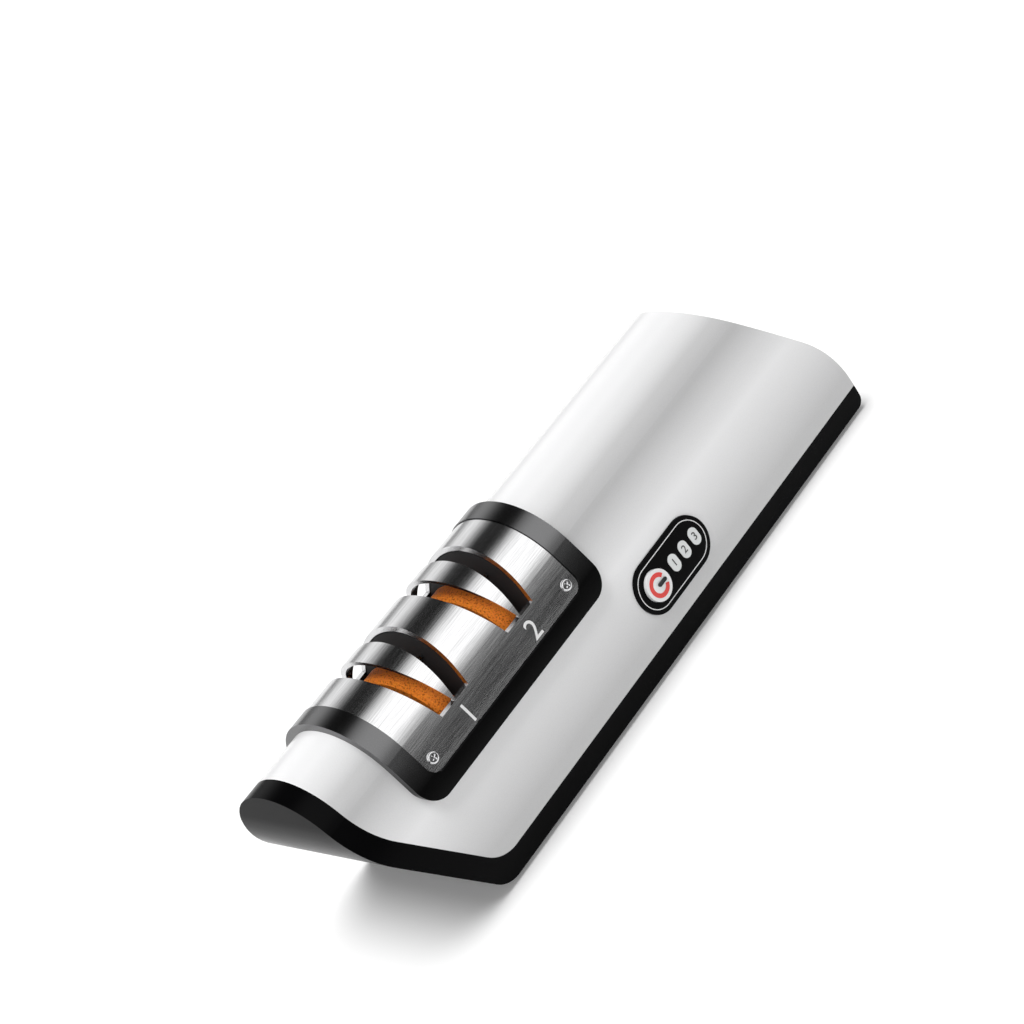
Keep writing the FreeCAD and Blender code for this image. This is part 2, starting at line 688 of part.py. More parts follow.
def make_motor():
    """Motor: can, magnet ring, armature on its shaft, and end bell with two terminals."""
    end = "motor_start + motor_length"
    inner = "motor_radius - motor_wall"
    bore = "motor_shaft_radius + running_gap"
    finish(turned("can_body", [
        ("motor_start - motor_boss", bore), ("motor_start - motor_boss", "motor_boss_radius"),
        ("motor_start", "motor_boss_radius"), ("motor_start", "motor_radius - motor_chamfer"),
        ("motor_start + motor_chamfer", "motor_radius"),
        (f"{end} - end_bell", "motor_radius"), (f"{end} - end_bell", inner),
        ("motor_start + motor_wall", inner), ("motor_start + motor_wall", bore),
    ], None, "0", "0", "axis_height"), "motor_can")
    magnet_start = "motor_start + motor_wall + magnet_gap"
    magnet_length = "motor_length - end_bell - motor_wall - 2 * magnet_gap"
    finish(ring("magnet_body", f"{inner} - magnet", inner, magnet_start, magnet_length), "motor_magnet")
    core = f"{inner} - magnet - armature_gap"
    core_end = f"{magnet_start} + {magnet_length}"
    finish(turned("armature_body", [
        ("shaft_end", "0"), ("shaft_end", "motor_shaft_radius"), (magnet_start, "motor_shaft_radius"),
        (magnet_start, core), (core_end, core), (core_end, "motor_shaft_radius"),
        (f"{end} - 1.2", "motor_shaft_radius"), (f"{end} - 1.2", "0"),
    ], None, "0", "0", "axis_height"), "motor_armature")
    bell = turned("bell_body", [
        (f"{end} - end_bell", bore), (f"{end} - end_bell", "motor_radius"),
        (f"{end} - motor_chamfer", "motor_radius"), (end, "motor_radius - motor_chamfer"), (end, "0"),
        (f"{end} - motor_wall", "0"), (f"{end} - motor_wall", bore),
    ], None, "0", "0", "axis_height")
    terminals = [box(f"terminal_{side + 1}", end, f"{side} * terminal_spread - terminal_width / 2",
                     "axis_height - terminal_thickness / 2", "terminal_height", "terminal_width",
                     "terminal_thickness") for side in SIDES]
    finish(bell, "motor_end_bell")
    finish(group("terminal_set", *terminals), "motor_terminals")


def make_chassis():
    """Floor plate with two bearing posts and two motor saddles."""
    start = "near_bearing_place - bearing_width / 2"
    plate = box("chassis_plate", start, "0 - chassis_half_width", "floor",
                f"chassis_end - ({start})", "2 * chassis_half_width", "chassis_plate")
    solids = [plate]
    for name in ("near", "far"):
        solids.append(box(f"post_{name}", f"{name}_bearing_place - bearing_width / 2",
                          "0 - post_half_width", "floor", "bearing_width", "2 * post_half_width",
                          "axis_height + bearing_radius + post_top_margin - floor"))
        solids.append(box(f"post_foot_{name}", f"{name}_bearing_place - bearing_width / 2",
                          "0 - rail_inside - 0.8", "floor", "bearing_width", "2 * (rail_inside + 0.8)",
                          "rail_top - floor"))
    for i, x in enumerate(("motor_start + saddle_inset",
                           "motor_start + motor_length - end_bell - saddle_inset - saddle")):
        solids.append(box(f"saddle_{i}", x, "0 - motor_radius - 2", "floor", "saddle",
                          "2 * (motor_radius + 2)", "axis_height - floor"))
    body = fuse("chassis_solid", *solids)
    bores = [rod(f"bore_{name}", "bearing_radius", "bearing_width + 2", ALONG,
                 f"{name}_bearing_place - bearing_width / 2 - 1", "0", "axis_height")
             for name in ("near", "far")]
    bores.append(rod("motor_bore", "motor_radius", "motor_length", ALONG, "motor_start", "0",
                     "axis_height"))
    trimmed = common("chassis_trimmed", cut("chassis_bored", body, group("chassis_bores", *bores)),
                     arch("chassis_block", "(0 - wall - fit)"))
    finish(trimmed, "chassis")


def make_power():
    """Two cells side by side in a cradle, and the charging socket in the back wall."""
    height = "floor + cradle_wall + cell_radius"
    cells = []
    for side in SIDES:
        cells.append(turned(f"cell_{side + 1}", [
            ("0", "0"), ("0", "cell_radius - cell_chamfer"), ("cell_chamfer", "cell_radius"),
            ("cell_length - cell_tip - cell_chamfer", "cell_radius"),
            ("cell_length - cell_tip", "cell_radius - cell_chamfer"),
            ("cell_length - cell_tip", "cell_tip_radius"), ("cell_length", "cell_tip_radius"),
            ("cell_length", "0"),
        ], None, "cell_start", f"{side} * cell_half_pitch", height))
    finish(group("cell_set", *cells), "battery_cells")
    width = "cell_half_pitch + cell_radius + cradle_wall"
    block = box("cradle_block", "cell_start - cradle_wall", f"0 - ({width})", "floor",
                "cell_length + 2 * cradle_wall", f"2 * ({width})", "cell_radius + cradle_wall")
    hollows = [rod(f"cradle_hollow_{side + 1}", "cell_radius", "cell_length", ALONG, "cell_start",
                   f"{side} * cell_half_pitch", height) for side in SIDES]
    bridge = box("cradle_window", "cell_start + cradle_window_inset", f"0 - ({width}) - 1",
                 "floor + cradle_wall + cradle_lip", "cell_length - 2 * cradle_window_inset",
                 f"2 * ({width}) + 2", "cell_radius")
    finish(cut("cradle_body", block, group("cradle_cuts", *hollows, bridge)), "cell_cradle")

    outer = common("socket_outer", bar, box(
        "socket_sleeve", "socket_place - socket_half_length - socket_shell",
        "half_width - socket_depth - charge_board_gap", "socket_height - socket_half_height - socket_shell",
        "2 * (socket_half_length + socket_shell)", "socket_depth + charge_board_gap",
        "2 * (socket_half_height + socket_shell)"))
    bore = box("socket_bore", "socket_place - socket_half_length", "half_width - socket_depth",
               "socket_height - socket_half_height", "2 * socket_half_length", "socket_depth + 5",
               "2 * socket_half_height")
    tongue = box("socket_tongue", "socket_place - socket_half_length + 1", "half_width - socket_depth",
                 "socket_height - 0.35", "2 * socket_half_length - 2", "socket_depth - 2", "0.7")
    finish(fuse("socket_body", cut("socket_open", outer, bore), tongue), "charging_socket")
    board = box("charge_board", "socket_place - charge_board_length / 2",
                "half_width - socket_depth - charge_board_gap - board_thickness", "floor",
                "charge_board_length", "board_thickness", "socket_height + charge_board_rise - floor")
    finish(board, "charging_board")


# The panel's pieces are made square to the wall, which leans back by this angle there.
PANEL_TILT = f"asin(panel_height / {SIDE_RADIUS})"
WALL_TILT = math.degrees(math.asin(value("panel_height") / value(SIDE_RADIUS)))
PANEL_OUT = FreeCAD.Rotation(X_AXIS, 90 - WALL_TILT)


def on_wall(depth):
    """Place formulas for Y and Z at the panel's height, a depth inside the wall's outer face."""
    reach = f"({SIDE_RADIUS} - ({depth}))"
    return f"{SIDE_CENTRE} - {reach} * cos({PANEL_TILT})", f"{reach} * sin({PANEL_TILT})"


def wall_rod(name, radius, x, start, end):
    """A cylinder square to the front wall, between two depths inside the wall's outer face."""
    y, z = on_wall(end)
    return rod(name, radius, f"({end}) - ({start})", PANEL_OUT, x, y, z)


def wall_oval(name, x, grow, start, end):
    """An oval prism square to the front wall, taller than it is wide."""
    rise = f"(lens_half_height - lens_half_width)"
    y, z = on_wall(end)
    pieces = []
    for side in SIDES:
        pieces.append(rod(f"{name}_{side + 1}", f"lens_half_width + {grow}", f"({end}) - ({start})",
                          PANEL_OUT, x, f"{y} + {side} * {rise} * sin({PANEL_TILT})",
                          f"{z} + {side} * {rise} * cos({PANEL_TILT})"))
    middle_y = f"{y} - {rise} * sin({PANEL_TILT})"
    middle_z = f"{z} - {rise} * cos({PANEL_TILT})"
    pieces.append(box(f"{name}_middle", f"{x} - lens_half_width - {grow}", middle_y, middle_z,
                      f"2 * (lens_half_width + {grow})", f"2 * {rise}", f"({end}) - ({start})", PANEL_OUT))
    return fuse(name, *pieces)


LENS_PLACES = [f"lens_first + {i} * lens_pitch" for i in range(3)]


def make_panel():
    """Pill-shaped panel, button with its stem and plunger, lenses, and the board behind them."""
    back = "wall + panel_flange_depth"
    plate = common("panel_plate", pill("panel_pill", "(0 - 0.05)", "0 - half_width - 5", "15"),
                   cut("panel_band", arch("panel_outside", "panel_proud"), bar_inside))
    flange = common("panel_rim", pill("panel_rim_pill", "panel_flange", "0 - half_width - 5", "15"),
                    cut("panel_rim_band", bar_inside, arch("panel_rim_inside", f"(0 - ({back}))")))
    button_hole = wall_rod("button_hole", "button_radius + button_gap", "button_place", "0 - 3", "wall - 0.6")
    collar_hole = wall_rod("collar_hole", "button_radius + button_collar + button_gap", "button_place",
                           "wall - 0.6", f"{back} + 1")
    lens_holes = [wall_oval(f"lens_hole_{i}", x, "0", "0 - 3", f"{back} + 1")
                  for i, x in enumerate(LENS_PLACES)]
    body = cut("panel_body", fuse("panel_solid", plate, flange),
               group("panel_cuts", button_hole, collar_hole, *lens_holes))
    finish(body, "button_panel")

    lenses = []
    for i, x in enumerate(LENS_PLACES):
        lenses.append(wall_oval(f"lens_{i}", x, "0", "0 - panel_proud - lens_proud", back))
    finish(group("lens_set", *lenses), "indicator_lenses")

    face = "0 - panel_proud - button_proud"
    collar_start = "wall - 0.6 + button_gap"
    board_face = f"({back} + board_gap)"
    stem_end = f"{board_face} - switch_height - button_lift"
    solids = [
        wall_rod("button_disc", "button_radius", "button_place", face, collar_start),
        wall_rod("button_collar", "button_radius + button_collar", "button_place", collar_start,
                 f"{collar_start} + button_collar_depth"),
        wall_rod("button_stem", "stem_radius", "button_place",
                 f"{collar_start} + button_collar_depth - 0.01", stem_end),
    ]
    finish(fuse("button_body", *solids), "power_button")
    finish(wall_rod("plunger_body", "plunger_radius", "button_place", stem_end,
                    f"{board_face} - button_travel - 0.4"), "switch_plunger")

    y, z = on_wall(f"{board_face} + board_thickness")
    corner_y = f"{y} - board_height / 2 * sin({PANEL_TILT})"
    corner_z = f"{z} - board_height / 2 * cos({PANEL_TILT})"
    finish(box("board_body", "panel_place - board_length / 2", corner_y, corner_z, "board_length",
               "board_height", "board_thickness", PANEL_OUT), "control_board")
    y, z = on_wall(board_face)
    corner_y = f"{y} - switch_side / 2 * sin({PANEL_TILT})"
    corner_z = f"{z} - switch_side / 2 * cos({PANEL_TILT})"
    case = box("switch_case", "button_place - switch_side / 2", corner_y, corner_z, "switch_side",
               "switch_side", "switch_height - 0.3", PANEL_OUT)
    well = wall_rod("switch_well", "plunger_radius + running_gap", "button_place", "0", f"{board_face} - 0.3")
    finish(cut("switch_body", case, well), "tact_switch")
    lamps = []
    for i, x in enumerate(LENS_PLACES):
        corner_y = f"{y} - lamp_side / 2 * sin({PANEL_TILT})"
        corner_z = f"{z} - lamp_side / 2 * cos({PANEL_TILT})"
        lamps.append(box(f"lamp_{i}", f"{x} - lamp_side / 2", corner_y, corner_z, "lamp_side",
                         "lamp_side", "lamp_height", PANEL_OUT))
    finish(group("lamp_set", *lamps), "indicator_lamps")


def make_feet():
    """Rubber feet in their recesses and the screws that hold the shell to the tray."""
    feet = [rod(f"foot_{i}", "foot_radius", "foot_recess + foot_gap", None, x, y, "0 - foot_gap")
            for i, (x, y) in enumerate(foot_places())]
    finish(group("foot_set", *feet), "rubber_feet")
    screws = []
    for i, (x, y) in enumerate(base_screw_places()):
        screws.append(turned(f"base_screw_{i}", [
            ("0", "0"), ("0", "base_screw_radius"), ("base_screw_head", "base_screw_radius"),
            ("base_screw_head", "base_screw_shank"), ("base_screw_length", "base_screw_shank"),
            ("base_screw_length", "0"),
        ], UPRIGHT, x, y))
    finish(group("base_screw_set", *screws), "base_screws")


make_base_tray()
make_upper_shell()
make_head()
make_guides()
make_drive()
make_motor()
make_chassis()
make_power()
make_panel()
make_feet()
doc.recompute()

for thing in doc.Objects:
    if "Invalid" in thing.State or "Error" in thing.State:
        raise RuntimeError(f"{thing.Name} failed: {thing.State}")

os.makedirs("parts", exist_ok=True)
for subpart in SUBPARTS:
    shape = subpart.Shape
    if shape.isNull() or not shape.isValid() or not shape.Solids:
        raise RuntimeError(f"{subpart.Label} has no valid solid")
    shape.exportStep(f"parts/{subpart.Label}.step")
    limits = shape.BoundBox
    print(f"{subpart.Label}: {len(shape.Solids)} solids, {shape.Volume:.0f} mm3, "
          f"x {limits.XMin:.1f} to {limits.XMax:.1f}, z {limits.ZMin:.1f} to {limits.ZMax:.1f}")
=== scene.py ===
"""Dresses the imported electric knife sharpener: studio, finishes, cover screws and printed markings."""
from __future__ import annotations

import logging
import math
from dataclasses import dataclass
from enum import Enum
from typing import Any, Callable, Sequence

import bpy
from mathutils import Matrix, Vector


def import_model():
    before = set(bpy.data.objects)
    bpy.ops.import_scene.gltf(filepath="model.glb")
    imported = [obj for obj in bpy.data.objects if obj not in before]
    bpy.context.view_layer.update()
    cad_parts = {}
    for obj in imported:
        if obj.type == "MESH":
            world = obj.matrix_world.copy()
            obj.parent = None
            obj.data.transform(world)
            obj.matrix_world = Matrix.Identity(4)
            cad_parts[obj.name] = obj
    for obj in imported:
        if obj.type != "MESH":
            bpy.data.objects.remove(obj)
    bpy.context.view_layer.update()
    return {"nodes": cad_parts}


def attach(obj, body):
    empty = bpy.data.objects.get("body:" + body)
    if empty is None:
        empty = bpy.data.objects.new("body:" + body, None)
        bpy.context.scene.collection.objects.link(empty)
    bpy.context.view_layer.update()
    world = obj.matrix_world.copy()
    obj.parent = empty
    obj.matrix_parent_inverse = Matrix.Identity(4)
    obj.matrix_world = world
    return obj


LOG = logging.getLogger("sharpener")
MM = 0.001
WELD = 0.001 * MM
EVEN = (1.0, 1.0, 1.0)
Triple = tuple[float, float, float]
Stops = tuple[tuple[float, float], ...]


class Body(Enum):
    """The rigid bodies that the added pieces ride on."""

    HOUSING = "housing"
    BUTTON = "button"


class Grain(Enum):
    """Directions of a brushed metal's scratches, as stretches of the pattern along X, Y and Z."""

    ALONG_BAR = (0.03, 1.0, 1.0)
    ROUND_BAR = (1.0, 0.05, 0.05)
    NONE = EVEN


class Wire:
    """An output socket whose arithmetic adds Math nodes."""

    def __init__(self, tree: bpy.types.NodeTree, socket: bpy.types.NodeSocket) -> None:
        """Wraps a socket.

        Args:
            tree: The node tree that new nodes go into.
            socket: The output socket.
        """
        self.tree = tree
        self.socket = socket

    def _math(self, operation: str, left: Any, right: Any) -> "Wire":
        """Adds one Math node.

        Args:
            operation: Name of the operation.
            left: First value or wire.
            right: Second value or wire.

        Returns:
            The node's result.
        """
        node = self.tree.nodes.new("ShaderNodeMath")
        node.operation = operation
        for socket, value in zip(node.inputs, (left, right)):
            if isinstance(value, Wire):
                self.tree.links.new(value.socket, socket)
            else:
                socket.default_value = value
        return Wire(self.tree, node.outputs[0])

    def __add__(self, other: Any) -> "Wire":
        """Adds a value or a wire."""
        return self._math("ADD", self, other)

    __radd__ = __add__

    def __sub__(self, other: Any) -> "Wire":
        """Subtracts a value or a wire."""
        return self._math("SUBTRACT", self, other)

    def __rsub__(self, other: Any) -> "Wire":
        """Subtracts this wire from a value."""
        return self._math("SUBTRACT", other, self)

    def __mul__(self, other: Any) -> "Wire":
        """Multiplies by a value or a wire."""
        return self._math("MULTIPLY", self, other)

    __rmul__ = __mul__

    def __truediv__(self, other: Any) -> "Wire":
        """Divides by a value or a wire."""
        return self._math("DIVIDE", self, other)

    def __rtruediv__(self, other: Any) -> "Wire":
        """Divides a value by this wire."""
        return self._math("DIVIDE", other, self)

    def angle_over(self, other: "Wire") -> "Wire":
        """Gives the angle whose tangent is this wire over another, in radians."""
        return self._math("ARCTAN2", self, other)

    def clamp(self) -> "Wire":
        """Keeps the wire between 0 and 1."""
        return self._math("MINIMUM", self._math("MAXIMUM", self, 0.0), 1.0)


class Graph:
    """The node tree of one material or of the world."""

    MIX_FACTOR, MIX_LOW, MIX_HIGH = 0, 6, 7
    MIX_COLOUR = 2

    def __init__(self, tree: bpy.types.NodeTree) -> None:
        """Takes a node tree to add to."""
        self.tree = tree

    def add(self, kind: str, settings: dict[str, Any] | None = None,
            values: dict[Any, Any] | None = None, output: Any = 0) -> Wire:
        """Adds a node, with its settings set before its sockets.

        Args:
            kind: Node type, without the leading ShaderNode.
            settings: Attributes of the node, or the stops of its ramp.
            values: Values, wires or colours of its input sockets.
            output: Name or number of the output that is wanted.

        Returns:
            That output.
        """
        node = self.tree.nodes.new("ShaderNode" + kind)
        for name, value in (settings or {}).items():
            if name == "stops":
                self._set_stops(node.color_ramp, value)
            else:
                setattr(node, name, value)
        for name, value in (values or {}).items():
            if isinstance(value, Wire):
                self.tree.links.new(value.socket, node.inputs[name])
            else:
                node.inputs[name].default_value = value
        return Wire(self.tree, node.outputs[output])

    @staticmethod
    def _set_stops(ramp: bpy.types.ColorRamp, stops: Sequence[tuple[float, float]]) -> None:
        """Sets a ramp's stops.

        Args:
            ramp: The colour ramp.
            stops: Pairs of position and grey value.
        """
        while len(ramp.elements) < len(stops):
            ramp.elements.new(1.0)
        for element, (position, grey) in zip(ramp.elements, stops):
            element.position = position
            element.color = (grey, grey, grey, 1.0)

    def place(self, stretch: Sequence[float] = EVEN) -> Wire:
        """Gives Object coordinates, stretched along the axes."""
        here = self.add("TexCoord", output="Object")
        return self.add("Mapping", {"vector_type": "POINT"}, {"Vector": here, "Scale": tuple(stretch)})

    def height(self) -> Wire:
        """Gives the height above the ground, in metres."""
        return self.add("SeparateXYZ", values={"Vector": self.place()}, output="Z")

    def noise(self, scale: float, detail: float = 2.0, stretch: Sequence[float] = EVEN,
              roughness: float = 0.5) -> Wire:
        """Gives a noise pattern.

        Args:
            scale: Features per metre.
            detail: Octaves of finer noise.
            stretch: Stretch of the pattern along the axes.
            roughness: Strength of the finer octaves.

        Returns:
            The noise, from 0 to 1.
        """
        return self.add("TexNoise", values={"Vector": self.place(stretch), "Scale": scale,
                                            "Detail": detail, "Roughness": roughness})

    def grains(self, scale: float) -> Wire:
        """Gives a number from 0 to 1 for each cell of a cell pattern."""
        colour = self.add("TexVoronoi", values={"Vector": self.place(), "Scale": scale}, output="Color")
        return self.add("SeparateColor", values={"Color": colour}, output="Red")

    def ramp(self, factor: Wire, *stops: tuple[float, float]) -> Wire:
        """Maps a wire through grey stops."""
        return self.add("ValToRGB", {"stops": stops}, {"Fac": factor}, "Color")

    def blend(self, factor: Any, low: Any, high: Any) -> Wire:
        """Mixes two colours.

        Args:
            factor: Share of the second colour.
            low: First colour or wire.
            high: Second colour or wire.

        Returns:
            The mixed colour.
        """
        first, second = (c if isinstance(c, Wire) else (*c, 1.0) for c in (low, high))
        sockets = {self.MIX_FACTOR: factor, self.MIX_LOW: first, self.MIX_HIGH: second}
        return self.add("Mix", {"data_type": "RGBA"}, sockets, self.MIX_COLOUR)

    def bump(self, height: Wire, depth: float, strength: float) -> Wire:
        """Turns a height pattern into a normal.

        Args:
            height: The pattern, from 0 to 1.
            depth: Height of its highest point, in metres.
            strength: Share of the full effect.

        Returns:
            The normal.
        """
        return self.add("Bump", values={"Strength": strength, "Distance": depth, "Height": height})


@dataclass(frozen=True)
class Finish:
    """A moulded or printed finish: its plain values, and a mottle and texture over the surface.

    The scales count features per metre, and the shares multiply the colour.
    """

    name: str
    colour: Triple
    roughness: float
    metallic: float = 0.0
    coat: float = 0.0
    coat_roughness: float = 0.05
    specular: float = 0.5
    ior: float = 1.5
    mottle_scale: float = 90.0
    mottle_shares: tuple[float, float] = (0.9, 1.1)
    mottle_gloss: float = 0.12
    texture_scale: float = 2600.0
    texture_depth: float = 0.03 * MM
    texture_strength: float = 0.35

    def material(self) -> bpy.types.Material:
        """Makes the material, or finds the one already made.

        Returns:
            The material.
        """
        title = f"{self.name}_finish"
        known = bpy.data.materials.get(title)
        if known:
            return known
        made = bpy.data.materials.new(title)
        made.use_nodes = True
        shader = made.node_tree.nodes["Principled BSDF"]
        plain = {
            "Base Color": (*self.colour, 1.0), "Roughness": self.roughness, "Metallic": self.metallic,
            "Coat Weight": self.coat, "Coat Roughness": self.coat_roughness,
            "Specular IOR Level": self.specular, "IOR": self.ior,
        }
        for name, value in plain.items():
            shader.inputs[name].default_value = value
        for name, wire in self.vary(Graph(made.node_tree)).items():
            made.node_tree.links.new(wire.socket, shader.inputs[name])
        return made

    def shades(self, shares: Sequence[float]) -> list[list[float]]:
        """Gives the colour at each share of its brightness, with no channel over 1."""
        return [[min(c * share, 1.0) for c in self.colour] for share in shares]

    def vary(self, graph: Graph) -> dict[str, Wire]:
        """Gives what varies over the surface: here a faint mottle and a fine moulded texture.

        Args:
            graph: The material's node tree.

        Returns:
            A wire for each varying socket of the shader.
        """
        mottle = graph.noise(self.mottle_scale, detail=3.0)
        texture = graph.noise(self.texture_scale)
        return {
            "Base Color": graph.blend(mottle, *self.shades(self.mottle_shares)),
            "Roughness": (mottle - 0.5) * self.mottle_gloss + self.roughness,
            "Normal": graph.bump(texture, self.texture_depth, self.texture_strength),
        }


@dataclass(frozen=True)
class PearlPaint(Finish):
    """Silver-white lacquer with fine flake under a clear coat, shaded by height as in the photograph.

    The stops give the share of the colour at heights in millimetres: painted shade low on the wall and
    just below the crown, with a painted highlight band across the middle of the wall.
    """

    flake_scale: float = 5200.0
    flake_share: float = 0.10
    cloud_scale: float = 24.0
    cloud_share: float = 0.04
    peel_scale: float = 420.0
    peel_depth: float = 0.012 * MM
    peel_strength: float = 0.5
    sheen: Stops = (
        (5.0, 0.62), (11.0, 0.62), (22.0, 0.86), (29.5, 1.0), (36.0, 0.84),
        (42.0, 0.60), (47.0, 0.60), (49.5, 0.78), (52.3, 1.0), (53.2, 1.0),
    )

    def vary(self, graph: Graph) -> dict[str, Wire]:
        """Gives the painted shade and highlight bands by height with the flake's sparkle and a slight
        cloud, and the lacquer's orange peel.

        Args:
            graph: The material's node tree.

        Returns:
            A wire for each varying socket of the shader.
        """
        sparkle = graph.noise(self.flake_scale, detail=1.0)
        cloud = graph.noise(self.cloud_scale)
        peel = graph.noise(self.peel_scale)
        tone = (sparkle - 0.5) * self.flake_share + cloud * self.cloud_share - self.cloud_share / 2
        # Painted shade and a painted highlight band: the colour is darkened and lightened by height.
        top = self.sheen[-1][0]
        sheen = graph.ramp(graph.height() / (top * MM), *((z / top, share) for z, share in self.sheen))
        return {
            "Base Color": graph.blend((sheen + tone).clamp(), (0.0, 0.0, 0.0), self.colour),
            "Roughness": sparkle * self.flake_share + self.roughness - self.flake_share / 2,
            "Normal": graph.bump(peel, self.peel_depth, self.peel_strength),
        }


@dataclass(frozen=True)
class GlossBlack(Finish):
    """Polished dark surface with faint smears and hairline marks."""

    smear_scale: float = 60.0
    smear_shares: tuple[float, float] = (0.7, 1.5)
    smear_middle: float = 0.4
    smear_gloss: float = 0.16
    hair_scale: float = 900.0
    hair_stretch: Triple = (0.05, 1.0, 1.0)
    hair_stops: Stops = ((0.0, 0.0), (0.62, 0.0), (0.70, 1.0))
    hair_depth: float = 0.004 * MM
    hair_strength: float = 0.3

    def vary(self, graph: Graph) -> dict[str, Wire]:
        """Gives smears in the colour and the gloss, and fine hairline marks.

        Args:
            graph: The material's node tree.

        Returns:
            A wire for each varying socket of the shader.
        """
        smear = graph.noise(self.smear_scale, detail=4.0)
        hair = graph.noise(self.hair_scale, stretch=self.hair_stretch)
        marks = graph.ramp(hair, *self.hair_stops)
        return {
            "Base Color": graph.blend(smear, *self.shades(self.smear_shares)),
            "Roughness": (smear - self.smear_middle) * self.smear_gloss + self.roughness,
            "Normal": graph.bump(marks, self.hair_depth, self.hair_strength),
        }


@dataclass(frozen=True)
class BlackChrome(GlossBlack):
    """Smoked bright coating whose colour is darkened to black on the lower wall by painted shade."""

    deep_below: float = 35.0 * MM
    bright_above: float = 43.0 * MM
    deep_share: float = 0.08

    def vary(self, graph: Graph) -> dict[str, Wire]:
        """Gives the painted shade that darkens the colour from the crown down to the wall, over the gloss
        of the dark surface.

        Args:
            graph: The material's node tree.

        Returns:
            A wire for each varying socket of the shader.
        """
        wires = super().vary(graph)
        # Painted shade: the colour fades to near black below the crown.
        rise = ((graph.height() - self.deep_below) / (self.bright_above - self.deep_below)).clamp()
        wires["Base Color"] = graph.blend(rise, *self.shades((self.deep_share, 1.0)))
        return wires


@dataclass(frozen=True)
class BrushedMetal(Finish):
    """Metal with drawn scratches in one direction."""

    grain: Grain = Grain.ALONG_BAR
    scratch_scale: float = 3800.0
    scratch_roughness: float = 0.65
    scratch_share: float = 0.7
    scratch_depth: float = 0.01 * MM
    scratch_strength: float = 0.6
    band_ratio: float = 7.0
    tone_stops: Stops = ((0.3, 0.0), (0.7, 1.0))
    tone_shares: tuple[float, float] = (0.76, 1.16)
    tone_gloss: float = 0.16

    def vary(self, graph: Graph) -> dict[str, Wire]:
        """Gives long fine scratches in the colour, the gloss and the relief.

        Args:
            graph: The material's node tree.

        Returns:
            A wire for each varying socket of the shader.
        """
        scratch = graph.noise(self.scratch_scale, 3.0, self.grain.value, self.scratch_roughness)
        band = graph.noise(self.scratch_scale / self.band_ratio, stretch=self.grain.value)
        tone = scratch * self.scratch_share + band * (1.0 - self.scratch_share)
        return {
            "Base Color": graph.blend(graph.ramp(tone, *self.tone_stops), *self.shades(self.tone_shares)),
            "Roughness": tone * self.tone_gloss + self.roughness - self.tone_gloss / 2,
            "Normal": graph.bump(scratch, self.scratch_depth, self.scratch_strength),
        }


@dataclass(frozen=True)
class Abrasive(Finish):
    """Bonded grit: sharp grains of uneven colour, with the pores between them darkened as painted shade.
    """

    grit_scale: float = 2100.0
    grit_shares: tuple[float, float] = (0.85, 1.3)
    grit_gloss: float = 0.25
    gloss_drop: float = 0.15
    grit_relief: float = 0.6
    relief_depth: float = 0.22 * MM
    relief_strength: float = 0.9
    pore_ratio: float = 1.1
    pore_share: float = 0.45
    pore_stops: Stops = ((0.34, 1.0), (0.48, 0.0))
    wear_scale: float = 160.0
    wear_share: float = 0.6
    wear_gain: float = 1.15
    wear_lift: float = 0.03

    def vary(self, graph: Graph) -> dict[str, Wire]:
        """Gives grains, painted shade in the pores and worn, paler patches.

        Args:
            graph: The material's node tree.

        Returns:
            A wire for each varying socket of the shader.
        """
        grit = graph.grains(self.grit_scale)
        pore = graph.noise(self.grit_scale * self.pore_ratio)
        wear = graph.noise(self.wear_scale, detail=3.0)
        body = graph.blend(grit, *self.shades(self.grit_shares))
        pale = [min(c * self.wear_gain + self.wear_lift, 1.0) for c in self.colour]
        worn = graph.blend((wear * self.wear_share).clamp(), body, pale)
        # Painted shade: the pores, low in the relief, are darkened.
        dark = self.shades((self.pore_share,))[0]
        relief = grit * self.grit_relief + pore * (1.0 - self.grit_relief)
        return {
            "Base Color": graph.blend(graph.ramp(pore, *self.pore_stops), worn, dark),
            "Roughness": grit * self.grit_gloss + self.roughness - self.gloss_drop,
            "Normal": graph.bump(relief, self.relief_depth, self.relief_strength),
        }


PEARL = PearlPaint("pearl_white", (0.90, 0.90, 0.905), 0.30, coat=0.6, coat_roughness=0.16)
BLACK = GlossBlack("black_gloss", (0.002, 0.002, 0.0022), 0.2, specular=0.3, ior=1.16)
BEZEL = BlackChrome("black_chrome", (0.16, 0.16, 0.162), 0.2, metallic=1.0)
SPRING = GlossBlack("spring_steel", (0.09, 0.09, 0.09), 0.35, metallic=1.0)
MATTE = Finish("black_matte", (0.014, 0.014, 0.015), 0.62)
GREY = Finish("grey_plastic", (0.16, 0.16, 0.165), 0.55)
COVER = BrushedMetal("brushed_cover", (0.76, 0.76, 0.765), 0.18, metallic=1.0)
BRIGHT = BrushedMetal("bright_screw", (0.80, 0.80, 0.81), 0.16, metallic=1.0, grain=Grain.NONE,
                      scratch_scale=1500.0)
ZINC = BrushedMetal("zinc_plate", (0.62, 0.62, 0.60), 0.34, metallic=1.0, grain=Grain.ROUND_BAR)
SHAFT = BrushedMetal("shaft_steel", (0.70, 0.70, 0.71), 0.24, metallic=1.0, grain=Grain.ROUND_BAR)
BRASS = BrushedMetal("brass_part", (0.72, 0.52, 0.24), 0.28, metallic=1.0, grain=Grain.ROUND_BAR)
COPPER = BrushedMetal("copper_rotor", (0.58, 0.27, 0.14), 0.35, metallic=1.0, grain=Grain.ROUND_BAR)
FERRITE = Finish("ferrite", (0.05, 0.05, 0.052), 0.6)
GRIT = Abrasive("abrasive_orange", (1.0, 0.23, 0.018), 0.8)
CELL = Finish("cell_wrap", (0.05, 0.16, 0.42), 0.25)
BOARD = Finish("board_green", (0.02, 0.16, 0.07), 0.35)
